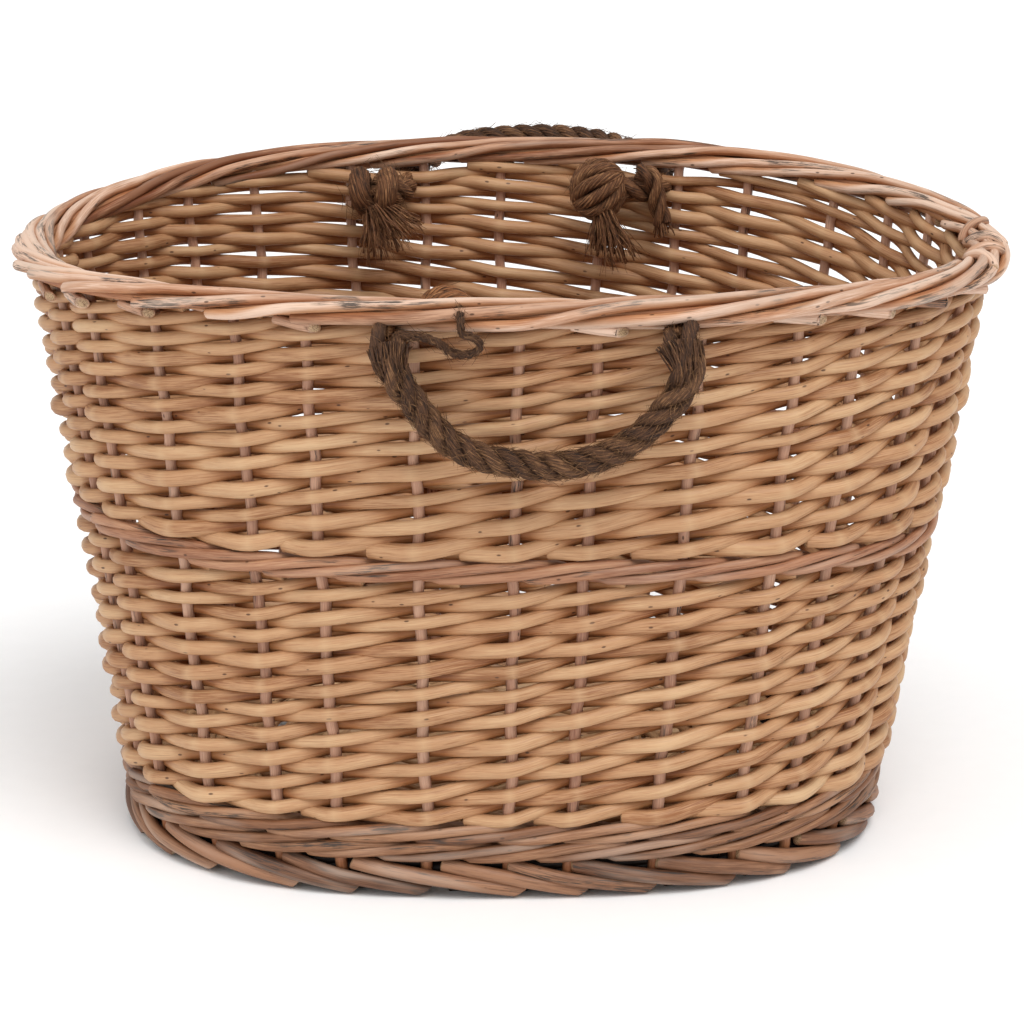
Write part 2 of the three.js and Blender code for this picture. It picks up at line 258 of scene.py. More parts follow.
class Bundle:
    """Rods gathered into one mesh, with what the materials read at each point: its place in the rod when
    straight (grain), the rod's tone, how much it is a cut end, how hard the rod bends (for a painted
    highlight), and its painted shade."""

    def __init__(self):
        self.points = []
        self.faces = []
        self.grain = []
        self.layers = {"tone": [], "cut": [], "bend": [], "shade": []}
        self.count = 0

    def add(self, path, radii, rng, sides=10, reference=(0, 0, 1), bend=0.0, shade=0.0, facing=None,
            slants=(0.0, 0.0), twist=0.0, ridges=0, ridge_depth=0.0, tone=None, edge=EDGE, inward=None):
        """One rod. slants tilt its two cut ends; twist turns its grain, in radians a metre; ridges are the
        yarns that show on a strand, with painted shade in the grooves between them; facing and edge say how
        painted shade darkens its sides; inward is the direction into the basket, for rods whose inner side
        gets a warmer painted shade; shade is painted shade along the rod, and bend a painted highlight;
        tone is drawn when it isn't given."""
        path = np.asarray(path, float)
        count = len(path)
        radii = np.broadcast_to(radii, count)
        tangent, side, up = turning_frames(path, reference)
        along = travelled(path)
        index = np.clip(np.arange(-3, count + 3), 0, count - 1)
        rings = np.vstack([CUT_RINGS * (-1, 1, 1), np.tile((0, 1, 0), (count, 1)), CUT_RINGS[::-1]])
        shift, share, cut = rings.T
        thick = (radii[index] * share)[:, None]
        around = np.arange(sides) * tau / sides
        turned = around[None, :] - twist * along[index][:, None]
        swell = 1 + ridge_depth * np.cos(ridges * around)
        reach = thick * swell[None, :]
        tilt = np.zeros(len(index))
        tilt[:4] = slants[0]
        tilt[-4:] = slants[1]
        lean = thick * np.cos(around)[None, :] * tilt[:, None]
        place = (
            path[index][:, None, :]
            + (reach * np.cos(turned))[..., None] * side[index][:, None, :]
            + (reach * np.sin(turned))[..., None] * up[index][:, None, :]
            + ((shift * radii[index])[:, None] + lean)[..., None] * tangent[index][:, None, :]
        )
        far = (along[index] + shift * radii[index] + rng.uniform(0, GRAIN_REACH))[:, None] + 0 * reach
        grain = np.stack([far, reach * np.cos(around), reach * np.sin(around)], -1)
        row = self.count + np.arange(len(index) - 1)[:, None] * sides
        corner = row + np.arange(sides)[None, :]
        beside = row + (np.arange(sides)[None, :] + 1) % sides
        quads = np.stack([corner, beside, beside + sides, corner + sides], -1).reshape(-1, 4)

        def toward(direction):
            """How much each point of the rod's surface faces a direction."""
            across = np.cos(turned) * (side[index] * direction[index]).sum(-1)[:, None]
            above = np.sin(turned) * (up[index] * direction[index]).sum(-1)[:, None]
            return across + above

        shaded = np.broadcast_to(shade, count)[index][:, None] + 0 * reach
        # Painted shade on the sides that face away from the facing direction.
        if facing is not None:
            begin, darkest = edge
            shaded = np.maximum(shaded, darkest * np.clip((begin - toward(facing)) / EDGE_FADE, 0, 1))
        # Warm painted shade on the side that faces into the basket.
        if inward is not None:
            shaded = np.maximum(shaded, INSIDE_SHADE * np.clip(2 * toward(inward), 0, 1))
        # Painted shade in the grooves between a strand's yarns.
        if ridges:
            shaded = np.maximum(shaded, YARN_SHADE * np.clip(-np.cos(ridges * around), 0, 1)[None, :])
        self.points.append(place.reshape(-1, 3))
        self.faces.append(quads)
        self.grain.append(grain.reshape(-1, 3))
        drawn = rng.uniform(0, 1) if tone is None else tone
        self.layers["tone"].append(np.full(shaded.size, drawn))
        self.layers["cut"].append(np.repeat(cut, sides))
        self.layers["bend"].append(np.repeat(np.broadcast_to(bend, count)[index], sides))
        self.layers["shade"].append(shaded.ravel())
        self.count += shaded.size

    def build(self, name, material, replaces=(), body="basket"):
        """The finished object. A body of None leaves the piece free, attached to no body."""
        mesh = bpy.data.meshes.new(name)
        mesh.from_pydata(np.concatenate(self.points).tolist(), [], np.concatenate(self.faces).tolist())
        grain = mesh.attributes.new("grain", "FLOAT_VECTOR", "POINT")
        grain.data.foreach_set("vector", np.concatenate(self.grain).astype(np.float32).ravel())
        for attribute, values in self.layers.items():
            layer = mesh.attributes.new(attribute, "FLOAT", "POINT")
            layer.data.foreach_set("value", np.concatenate(values).astype(np.float32))
        mesh.polygons.foreach_set("use_smooth", np.ones(len(mesh.polygons), bool))
        mesh.materials.append(MATERIALS[material])
        mesh.update()
        obj = linked(name, mesh)
        if replaces:
            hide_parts(*replaces)
        if body is not None:
            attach(obj, body)
        return obj


# ---- Materials


def from_srgb(red, green, blue):
    """A linear colour with alpha from the usual 0 to 255 numbers."""
    linear = [((v / 255 + 0.055) / 1.055) ** 2.4 if v > 10 else v / 255 / 12.92 for v in (red, green, blue)]
    return (*linear, 1.0)


class Nodes:
    """A material's node tree, with short calls for the nodes that the rods need."""

    def __init__(self, name):
        self.material = bpy.data.materials.new(name)
        self.material.use_nodes = True
        self.tree = self.material.node_tree
        self.shader = self.tree.nodes["Principled BSDF"]
        self.grain = self.attribute("grain", "Vector")
        self.tone = self.attribute("tone")
        self.shade = self.attribute("shade")

    def give(self, socket, value):
        """Sets an input to a value, or links it to another node's output."""
        if isinstance(value, bpy.types.NodeSocket):
            self.tree.links.new(value, socket)
        else:
            socket.default_value = value

    def add(self, kind, inputs=(), **settings):
        node = self.tree.nodes.new(kind)
        for key, value in settings.items():
            setattr(node, key, value)
        for key, value in dict(inputs).items():
            self.give(node.inputs[key], value)
        return node

    def attribute(self, name, output="Fac"):
        return self.add("ShaderNodeAttribute", attribute_name=name).outputs[output]

    def scaled(self, vector, factors):
        return self.add("ShaderNodeVectorMath", {0: vector, 1: factors}, operation="MULTIPLY").outputs[0]

    def noise(self, vector, factors, detail=2.0, roughness=0.55):
        place = self.scaled(vector, factors)
        inputs = {"Vector": place, "Scale": 1.0, "Detail": detail, "Roughness": roughness}
        return self.add("ShaderNodeTexNoise", inputs).outputs["Fac"]

    def math(self, operation, first, second):
        return self.add("ShaderNodeMath", {0: first, 1: second}, operation=operation).outputs[0]

    def weighed(self, *terms):
        """The sum of some values, each times its weight."""
        products = [self.math("MULTIPLY", value, weight) for value, weight in terms]
        total = products[0]
        for product in products[1:]:
            total = self.math("ADD", total, product)
        return total

    def ranged(self, value, low, high, to_low=0.0, to_high=1.0):
        inputs = {"Value": value, "From Min": low, "From Max": high, "To Min": to_low, "To Max": to_high}
        return self.add("ShaderNodeMapRange", inputs, interpolation_type="SMOOTHSTEP").outputs["Result"]

    def mixed(self, factor, first, second, blend_type="MIX"):
        inputs = {0: factor, 6: first, 7: second}
        return self.add("ShaderNodeMix", data_type="RGBA", blend_type=blend_type, inputs=inputs).outputs[2]

    def set(self, **values):
        for key, value in values.items():
            self.give(self.shader.inputs[key.replace("_", " ")], value)

    def bump(self, height, strength, distance):
        inputs = {"Height": height, "Strength": strength, "Distance": distance}
        return self.add("ShaderNodeBump", inputs).outputs["Normal"]


WARM_PINK = (1.06, 0.92, 0.85, 1)  # what the colour of a reddened rod is multiplied by
WARM_SHADE = (0.66, 0.42, 0.23, 1)  # and that of painted shade on a rod deep in the weave, warm as the light there comes from other rods
BUD_EYE = from_srgb(66, 37, 21)
MILDEW = from_srgb(52, 46, 42)
BLEACHED = from_srgb(206, 184, 166)
PITH = (from_srgb(120, 88, 60), from_srgb(190, 160, 124))


def willow(name, dark, middle, light, stain=0.0, gloss=0.5, pink=0.35, spread=0.34):
    """Peeled willow: lengthwise grain, small eyes where buds were, a pale painted highlight on the
    stretched fibres at hard bends, warm painted shade where the rods lie deep or covered, and brown pith at
    the cut ends. stain adds grey mildew, pink reddens some rods, and spread is how much the tones differ
    from rod to rod."""
    dark, middle, light = from_srgb(*dark), from_srgb(*middle), from_srgb(*light)
    nodes = Nodes(name)
    grain = nodes.grain
    fine = nodes.noise(grain, (70, 1500, 1500), 3.0, 0.6)
    broad = nodes.noise(grain, (16, 110, 110), 2.0, 0.5)
    hue = nodes.add("ShaderNodeTexWhiteNoise", {"W": nodes.tone}, noise_dimensions="1D").outputs["Value"]

    blend = nodes.weighed((fine, 1.05), (broad, 0.9), (nodes.tone, spread))
    low = nodes.ranged(blend, 0.75, 1.17)
    high = nodes.ranged(blend, 1.13, 1.57)
    colour = nodes.mixed(high, nodes.mixed(low, dark, middle), light)
    reddened = nodes.mixed(1.0, colour, WARM_PINK, "MULTIPLY")
    colour = nodes.mixed(nodes.math("MULTIPLY", hue, pink), colour, reddened)

    streak = nodes.ranged(nodes.noise(grain, (26, 1000, 1000), 3.0), 0.59, 0.70, 0.0, 0.5)
    colour = nodes.mixed(streak, colour, dark)
    eyes = nodes.add("ShaderNodeTexVoronoi", {"Vector": nodes.scaled(grain, (55, 130, 130)), "Scale": 1.0})
    eye = nodes.ranged(eyes.outputs["Distance"], 0.05, 0.10, 0.85, 0.0)
    colour = nodes.mixed(eye, colour, BUD_EYE)
    if stain:
        cloud = nodes.noise(grain, (17, 130, 130), 3.0, 0.6)
        mildew = nodes.ranged(cloud, 0.61 - 0.10 * stain, 0.70 - 0.1 * stain, 0.0, 0.9)
        speckle = nodes.ranged(nodes.noise(grain, (75, 1500, 1500), 4.0, 0.65), 0.45, 0.55)
        colour = nodes.mixed(nodes.math("MULTIPLY", mildew, speckle), colour, MILDEW)
        bleach = nodes.ranged(nodes.noise(grain, (9, 60, 60), 2.0), 0.48, 0.68, 0.0, 0.65 * stain)
        colour = nodes.mixed(bleach, colour, BLEACHED)
    # Painted highlight: a pale band where a rod bends hard over a stake, on its stretched fibres.
    colour = nodes.mixed(nodes.math("MULTIPLY", nodes.attribute("bend"), 0.42), colour, light)
    # Painted shade: the colour runs toward a warm dark brown where the shade attribute is high.
    deep = nodes.mixed(1.0, colour, WARM_SHADE, "MULTIPLY")
    colour = nodes.mixed(nodes.math("MULTIPLY", nodes.shade, 0.9), colour, deep)
    pith = nodes.mixed(nodes.ranged(fine, 0.35, 0.6), *PITH)
    colour = nodes.mixed(nodes.attribute("cut"), colour, pith)

    relief = nodes.weighed((fine, 0.6), (broad, 1.0), (eye, -0.8))
    nodes.set(
        Base_Color=colour,
        Roughness=nodes.ranged(fine, 0.3, 0.7, gloss - 0.08, gloss + 0.12),
        Normal=nodes.bump(relief, 0.5, 0.0004),
        Specular_IOR_Level=0.35,
    )
    return nodes.material


def coir(name, dark, middle, light):
    """Coconut fibre: fine hard streaks from near black to gold that run with the yarns, darkened
    toward black by painted shade in the grooves and between the strands.
    """
    dark, middle, light = from_srgb(*dark), from_srgb(*middle), from_srgb(*light)
    nodes = Nodes(name)
    grain = nodes.grain
    fibre = nodes.noise(grain, (150, 1500, 1500), 3.0, 0.7)
    tuft = nodes.noise(grain, (260, 640, 640), 3.0, 0.65)
    blend = nodes.weighed((fibre, 0.8), (tuft, 0.4), (nodes.tone, 0.12))
    low = nodes.ranged(blend, 0.50, 0.66)
    high = nodes.ranged(blend, 0.68, 0.84)
    colour = nodes.mixed(high, nodes.mixed(low, dark, middle), light)
    # Painted shade: toward the darkest tone in the grooves and on the strands' hidden sides.
    colour = nodes.mixed(nodes.math("MULTIPLY", nodes.shade, 0.75), colour, dark)
    nodes.set(
        Base_Color=colour,
        Roughness=nodes.ranged(fibre, 0.3, 0.7, 0.62, 0.85),
        Normal=nodes.bump(nodes.math("ADD", fibre, tuft), 0.9, 0.0009),
        Specular_IOR_Level=0.3,
    )
    return nodes.material


# Tones are written as the usual 0 to 255 numbers, from dark to light.
MATERIALS = {
    "weave": willow("golden_willow", (142, 95, 60), (184, 142, 104), (202, 167, 128), pink=0.3),
    "wale": willow("pink_willow", (128, 80, 54), (168, 122, 92), (194, 154, 120), 0.4),
    # Brown willow for the bottom wale, darkened further by painted shade near the floor.
    "low_wale": willow("shaded_brown_willow", (78, 46, 26), (126, 86, 59), (164, 123, 92), 0.5, spread=0.5),
    "rim": willow("rim_willow", (130, 86, 58), (188, 145, 116), (220, 190, 168), 0.8, spread=0.6),
    # The foot: darker willow, partly painted shade near the floor.
    "foot": willow("shaded_foot_willow", (64, 37, 22), (115, 78, 55), (154, 113, 85), 0.6, spread=0.55),
    "stake": willow("stake_willow", (140, 96, 74), (182, 140, 116), (208, 170, 144), 0.2),
    "base": willow("base_willow", (136, 94, 62), (182, 142, 102), (210, 176, 134), 0.2),
    "foot_inner": willow("shadowed_willow", (16, 9, 5), (32, 19, 11), (50, 32, 21)),
    "rope": coir("coir_rope", (36, 21, 12), (90, 60, 40), (146, 106, 72)),
    "fibre": coir("coir_fibre", (62, 39, 23), (112, 78, 50), (166, 126, 88)),
    # A paler, redder coir for the front left knot.
    "pale_knot": coir("coir_pale_knot", (60, 35, 18), (146, 94, 57), (196, 144, 96)),
    "knot": coir("coir_knot", (42, 24, 12), (112, 72, 45), (172, 126, 86)),
}


# ---- Weave: two blocks of French randing, one tapered rod starting at every stake

# Each block's rods: the radii of butt and tip, and how much closer the levels get towards the top.
LOWER_RODS = (4.6 * MM, 4.0 * MM, 0.07)
UPPER_RODS = (4.75 * MM, 3.55 * MM, 0.18)
ROD_VARIETY = 0.09  # how much the thickness differs from rod to rod
WEAVER_PRESS = 2.2 * MM  # how far a rod beds into the stake it bends round
WEAVER_KINK = 0.13  # above 0 the rods bend sharply at the stakes, below 0 they lie flat over them
LEVELS = 20  # how many stakes a rod passes, one level higher at each
WEAVER_LEVEL = 0.85  # how far a rod runs level before it climbs, in stakes
WEAVER_END = 0.42  # how far it runs past its last stake
BUTTS_OUTSIDE = 0.6  # the share of the rods whose butt shows on the outside
WEAVER_PACKING = 1.4 * MM  # how far the first and last rods are beaten into the bands below and above
STEPS_PER_STAKE = 11
WEAVER_GROUPS = 4  # pieces a block is divided into
ROPE_PUSH = (8 * MM, 0.036)  # how far the back handle's ropes push the rods down, and over what width


def weave_block(rng, low, high, rods, name, replaced):
    """Rods that each climb one level a stake, behind one stake and in front of the next."""
    per_group = STAKE_COUNT // WEAVER_GROUPS
    for group in range(WEAVER_GROUPS):
        bundle = Bundle()
        for start in range(group * per_group, (group + 1) * per_group):
            add_weaver(bundle, rng, start, low, high, rods)
        replaces = (replaced,) if group == 0 else ()
        bundle.build(f"{name}_{group + 1}", "weave", replaces)


def pushed_down(turn, height):
    """How far the back handle's ropes push the topmost rods down from under the rim."""
    place = wall_point(turn, height)
    depth, width = ROPE_PUSH
    near = sum(np.exp(-(((place[:, 0] - hole) / width) ** 2)) for hole in (HANDLE_LEFT, HANDLE_RIGHT))
    top = np.clip((height - MIDDLE_WALE_TOP) / (WALL_TOP - MIDDLE_WALE_TOP), 0, 1)
    return np.where(place[:, 1] > 0, depth * near * top**5, 0)


def stake_radius(height):
    return STAKE_BUTT_RADIUS + (STAKE_TIP_RADIUS - STAKE_BUTT_RADIUS) * height / WALL_TOP


def add_weaver(bundle, rng, start, low, high, rods):
    """One rod, from its butt at the bottom of the block to its tip at the top."""
    butt, tip, tightening = rods
    thickness = np.clip(rng.normal(1.0, ROD_VARIETY), 1 - 2 * ROD_VARIETY, 1 + 2 * ROD_VARIETY)
    first = rng.uniform(0.42, 0.6) if rng.uniform() < BUTTS_OUTSIDE else -0.35
    last = LEVELS + WEAVER_END
    level = np.linspace(first, last, round((last - first) * STEPS_PER_STAKE))
    share = np.clip(level / LEVELS, 0, 1)
    radii = (butt + (tip - butt) * share) * thickness
    radii = radii * (1 + smooth_noise(rng, level, 3.3, 0.045))
    risen = level - WEAVER_LEVEL
    climbing = 0.5 * (risen + np.sqrt(risen**2 + 0.08)) / (LEVELS - WEAVER_LEVEL)  # 0.08 rounds the corner
    climb = climbing * (1 + tightening * (1 - climbing))
    bottom, top = low + radii[0] - WEAVER_PACKING, high - radii[-1] + WEAVER_PACKING
    height = bottom + (top - bottom) * climb + smooth_noise(rng, level, 4.7, 0.85 * MM)
    height = np.maximum(height, bottom)
    turn = stake_turn(start + level)
    height = height - pushed_down(turn, height)
    kink = WEAVER_KINK * (1 - 2.2 * np.abs(np.cos(turn)) ** 6)  # flatter at the ends of the basket
    wave = (np.cos(pi * level) + kink * np.cos(3 * pi * level)) / (1 + kink)
    out = -wave * (stake_radius(height) + radii - WEAVER_PRESS)
    # Where the rod bends hardest over a stake, for the painted highlight.
    bend = np.clip((np.abs(wave) - 0.975) / 0.02, 0, 1)
    # Painted shade where the rod lies covered by another rod, and warm painted shade on its side toward the
    # inside of the basket.
    inward = -outward(turn, height)
    facing = inward * wave[:, None]
    path = wall_point(turn, height, out)
    bundle.add(path, radii, rng, sides=12, bend=bend, facing=facing, edge=HIDDEN_EDGE, inward=inward)


# ---- Wales: bands of three-rod twist

WALE_ROD_RADIUS = 2.95 * MM
WALE_CYCLE = 3  # each rod passes outside two stakes and inside one
WALE_RODS_A_LAP = 2  # each of the three paths is made of this many rods, thick end to thin end
WALE_OVERLAP = 0.4  # how far a rod runs past the places where the next and the last one begin and end
WALE_STEPS = 12  # points for each stake passed
BOTTOM_WALE_ROUNDS = 2


def wale_height(place):
    """Height in the band, from -1 to 1: rising across two outer stakes and dropping behind the third."""
    return np.where(place < 2, -np.cos(pi * place / 2), np.cos(pi * (place - 2)))


def wale_out(place):
    """Distance outward, from -1 to 1: outside past two stakes, and inside only behind the third."""
    outside = np.clip(np.sin(pi * (place + 0.25) / 2.5), 0, 1) ** 0.5
    inside = np.clip(np.sin(pi * np.clip(place - 2.25, 0, 0.5) / 0.5), 0, 1)
    return np.where(place <= 2.25, outside, -inside)


def add_wale_round(bundle, rng, middle, half_rise, shift):
    """One round of the twist at a height. shift turns it about the basket, in stakes."""
    for path in range(WALE_CYCLE):
        for piece in range(WALE_RODS_A_LAP):
            span = STAKE_COUNT / WALE_RODS_A_LAP
            begin = shift + path + piece * span
            count = round((span + 2 * WALE_OVERLAP) * WALE_STEPS)
            stakes = np.linspace(begin - WALE_OVERLAP, begin + span + WALE_OVERLAP, count)
            place = (stakes - shift - path + 0.5) % WALE_CYCLE
            share = np.linspace(0, 1, len(stakes))
            radii = WALE_ROD_RADIUS * (1.12 - 0.26 * share) * np.clip(rng.normal(1, 0.06), 0.88, 1.12)
            height = middle + half_rise * wale_height(place) + smooth_noise(rng, stakes, 5.1, 0.4 * MM)
            out = wale_out(place) * (STAKE_BUTT_RADIUS + radii)
            out = out + smooth_noise(rng, stakes, 3.7, 0.3 * MM)
            turn = stake_turn(stakes)
            # Painted shade on the rod's sides turned away from the outside of the wall.
            bundle.add(wall_point(turn, height, out), radii, rng, sides=12, facing=outward(turn, height))


def add_wales(rng):
    bottom = Bundle()
    band = (BOTTOM_WALE_TOP - FOOT_TOP) / BOTTOM_WALE_ROUNDS
    for layer in range(BOTTOM_WALE_ROUNDS):
        add_wale_round(bottom, rng, FOOT_TOP + band * (layer + 0.5), 4.2 * MM, layer * 1.4)
    bottom.build("bottom_wale_rods", "low_wale", ("bottom_wale",))
    middle = Bundle()
    add_wale_round(middle, rng, (MIDDLE_WALE_BOTTOM + MIDDLE_WALE_TOP) / 2, 4.4 * MM, 0.7)
    middle.build("middle_wale_rods", "wale", ("middle_wale",))


# ---- Stakes


STAKE_FOOT = 10 * MM  # the height at which the stakes begin
STAKE_PAST_WALL = 6 * MM  # how far a stake's tip stands up into the rim
STAKE_SWAY = (0.09, 1.2 * MM)  # the length and the size of its bends


def add_stakes(rng):
    bundle = Bundle()
    for number in range(STAKE_COUNT):
        height = np.linspace(STAKE_FOOT, WALL_TOP + STAKE_PAST_WALL, 40)
        turn = stake_turn(number) + smooth_noise(rng, height, *STAKE_SWAY) / RIM_HALF[0]
        painted_foot_shade = np.clip((FOOT_TOP + 6 * MM - height) / (8 * MM), 0, 1)  # painted shade within the foot
        path = wall_point(turn, height)
        bundle.add(path, stake_radius(height), rng, reference=(1, 0, 0), shade=painted_foot_shade)
    names = [f"stake_{number + 1:02d}" for number in range(STAKE_COUNT)]
    bundle.build("willow_stakes", "stake", names)


# ---- Rim border: the stakes laid down into rods that roll once round the rim

RIM_ROD_RADIUS = 3.2 * MM
RIM_MIDDLE_OUT = 3.8 * MM  # from the wall's middle to that of the roll
RIM_ROLL_OUT = 10.2 * MM  # half the width and half the height of the oval that the rods' middles follow
RIM_ROLL_UP = 5.0 * MM
RIM_RIDE = 1.3 * MM  # how far every second rod rides up on its neighbours
RIM_CORE_RADIUS = 3.3 * MM  # hidden rods that fill the roll, painted fully shaded
RIM_CORE_SPREAD = 4.0 * MM
RIM_WANDER = 0.6 * MM
RIM_ROLL_STAKES = 7.0  # stakes passed in one roll round the rim
RIM_MIDDLE_HEIGHT = RIM_TOP - RIM_ROD_RADIUS - RIM_ROLL_UP
RIM_STUB_SHARE = 0.7  # the share of the stakes beside which a cut end shows
RIM_STUB_RADIUS = 3.4 * MM
RIM_STUB_START = -0.35  # in stakes, where it is still covered
RIM_STUB_FALL = 4.2 * MM  # how far it comes down, and how far out
RIM_STUB_OUT = 6 * MM
HANDLE_CLEARANCE = 0.014  # no cut end comes nearer to a rope
# The rods laid across the closing place, in degrees: the angle about the basket, where each begins and ends
# on the roll, and how far it slants.
RIM_CROSSINGS = [(-17, 20, 138, 1.6), (-10, 40, 168, -1.2), (-2, 28, 150, 1.4), (7, 60, 176, -2.2)]
RIM_CROSSING_RADIUS = 3.6 * MM
RIM_CROSSING_OUT = 0.5 * MM  # how far they lie on top of the roll, sideways and upward
RIM_CROSSING_UP = 3.6 * MM


def roll_angle(turns):
    """The angle about the middle of the rim after some turns of even travel round its oval section."""
    angle = np.linspace(0, tau, 361)
    steps = np.hypot(RIM_ROLL_OUT * np.diff(np.cos(angle)), RIM_ROLL_UP * np.diff(np.sin(angle)))
    passed = np.concatenate([[0], np.cumsum(steps)])
    return np.interp(turns % 1, passed / passed[-1], angle) + tau * np.floor(turns)


def near_angle(turn, middle, width):
    """1 at an angle about the basket, falling to 0 away from it. middle and width are in degrees."""
    away = (degrees(turn) - middle + 180) % 360 - 180
    return exp(-((away / width) ** 2))


def rim_facing(turn, height, roll):
    """The direction out of the roll's oval section."""
    facing = outward(turn, height) * (np.cos(roll) / RIM_ROLL_OUT)[:, None]
    facing[:, 2] += np.sin(roll) / RIM_ROLL_UP
    return unit(facing)


def add_rim_rod(bundle, rng, number):
    """A rod from under the outer edge, over the top and down inside. Its butt shows at the left end of the
    basket, and its tip at the right end."""
    begin = -0.30 + 0.33 * near_angle(stake_turn(number), 200, 50)
    finish = 0.66 - 0.20 * near_angle(stake_turn(number + RIM_ROLL_STAKES), 20, 34)
    along = np.linspace(0, (finish - begin) * RIM_ROLL_STAKES, 100)
    roll = roll_angle(begin + along / RIM_ROLL_STAKES)
    thickness = np.clip(rng.normal(1, 0.06), 0.9, 1.1)
    radii = RIM_ROD_RADIUS * (1.08 - 0.18 * along / RIM_ROLL_STAKES) * thickness
    ride = RIM_RIDE * (number % 2)
    out = RIM_MIDDLE_OUT + (RIM_ROLL_OUT + ride) * np.cos(roll) + smooth_noise(rng, along, 3.3, RIM_WANDER)
    height = RIM_MIDDLE_HEIGHT + (RIM_ROLL_UP + ride) * np.sin(roll)
    height += smooth_noise(rng, along, 2.9, RIM_WANDER)
    turn = stake_turn(number + along + rng.uniform(-0.18, 0.18))
    # Painted shade where the border's rods lie against each other, away from the roll's surface.
    facing = rim_facing(turn, height, roll)
    slants = (rng.uniform(-0.4, 0.4), 0.5)
    tone = rng.uniform(0, 1) - 0.7 * near_angle(stake_turn(number + 2), 90, 45)  # darker at the back, painted shade on the roll's inner side seen there
    tone += 0.7 * near_angle(stake_turn(number + 2), 190, 40)  # and paler at the left end
    path = wall_point(turn, height, out)
    bundle.add(path, radii, rng, sides=12, facing=facing, slants=slants, tone=tone, edge=RIM_EDGE)


def add_rim_stub(bundle, rng, number):
    """The cut end of a rod that comes out under the rim beside a stake."""
    along = np.linspace(RIM_STUB_START, rng.uniform(0.06, 0.30), 12)
    share = (along - RIM_STUB_START) / 0.65
    height = WALL_TOP - 0.6 * MM - RIM_STUB_FALL * share
    place = stake_turn(number + along)
    path = wall_point(place, height, RIM_STUB_OUT * (1 + share))
    if min(abs(path[-1][0] - HANDLE_LEFT), abs(path[-1][0] - HANDLE_RIGHT)) > HANDLE_CLEARANCE:
        # Painted shade on the cut end's sides away from the outside.
        ahead = outward(place, height)
        bundle.add(
            path, RIM_STUB_RADIUS * rng.uniform(0.82, 1.02), rng, sides=14, reference=ahead[0],
            slants=(0, rng.uniform(-1.3, -0.8)), facing=ahead,
        )


def add_rim_crossing(bundle, rng, turn, begin, finish, slide):
    """A short rod laid across the rim at its right end, where the border was closed. Angles in degrees."""
    roll = np.radians(np.linspace(begin, finish, 16))
    out = RIM_MIDDLE_OUT + (RIM_ROLL_OUT + RIM_CROSSING_OUT) * np.cos(roll)
    height = RIM_MIDDLE_HEIGHT + (RIM_ROLL_UP + RIM_CROSSING_UP) * np.sin(roll)
    place = np.radians(turn + np.linspace(-slide, slide, 16))
    # Painted shade on the sides turned into the roll.
    facing = rim_facing(place, height, roll)
    radius = RIM_CROSSING_RADIUS * rng.uniform(0.9, 1.06)
    bundle.add(wall_point(place, height, out), radius, rng, sides=12, facing=facing, slants=(0.3, 0.5))


def add_rim(rng):
    rods = Bundle()
    for number in range(STAKE_COUNT):
        add_rim_rod(rods, rng, number)
    lap = np.linspace(0, tau, 240)
    # Two core rods, painted fully shaded so the gaps between the border's rods look dark.
    for out in (-RIM_CORE_SPREAD, RIM_CORE_SPREAD):
        core = wall_point(lap, RIM_MIDDLE_HEIGHT, RIM_MIDDLE_OUT + out)
        rods.add(core, RIM_CORE_RADIUS, rng, shade=1.0)
    rods.build("rim_rods", "rim", ("rim_border",))
    ends = Bundle()
    for number in range(STAKE_COUNT):
        if rng.uniform() < RIM_STUB_SHARE:
            add_rim_stub(ends, rng, number)
    for crossing in RIM_CROSSINGS:
        add_rim_crossing(ends, rng, *crossing)
    ends.build("rim_cut_ends", "rim")


# ---- Foot border: thick rods that slant down to the right, over a second layer inside

FOOT_ROD_RADIUS = 4.4 * MM
FOOT_INNER_OUT = -4.4 * MM  # inside the wall's middle
FOOT_INNER_LAYERS = ((4.2 * MM, 7 * MM), (11 * MM, 8 * MM))  # where each starts, and how far it climbs


def add_foot(rng):
    bundle = Bundle()
    inner = Bundle()
    for number in range(STAKE_COUNT):
        begin = 0.12 + rng.uniform(-0.12, 0.12)
        reach = rng.uniform(1.8, 2.1)
        share = np.linspace(0, 1, 26)
        radii = FOOT_ROD_RADIUS * np.clip(rng.normal(1, 0.07), 0.88, 1.1) * (1.02 - 0.1 * share)
        height = np.maximum(FOOT_TOP - 3.4 * MM - (FOOT_TOP - 8 * MM) * share**0.9, radii)
        out = 3.0 * MM + 3.0 * MM * np.sin(pi * share) + 2.0 * MM * share
        turn = stake_turn(number + begin + reach * share)
        slants = (rng.uniform(-0.3, 0.3), rng.uniform(0.5, 1.2))
        # Painted shade on the rod's sides turned away from the outside of the wall.
        facing = outward(turn, height)
        bundle.add(wall_point(turn, height, out), radii, rng, sides=12, facing=facing, slants=slants)
    # The inner layer: near-black rods, painted shade in the hollow under the wall's foot.
    for number in range(STAKE_COUNT):
        share = np.linspace(0, 1, 22)
        for low, climb in FOOT_INNER_LAYERS:
            turn = stake_turn(number - 0.8 + 1.7 * share + rng.uniform(-0.1, 0.1))
            path = wall_point(turn, low + climb * share, FOOT_INNER_OUT)
            inner.add(path, FOOT_ROD_RADIUS * rng.uniform(0.9, 1.0), rng, shade=1.0)
    bundle.build("foot_rods", "foot", ("foot_border",))
    inner.build("foot_inner_rods", "foot_inner")


# ---- Base: sticks threaded through one another, with rods woven round them

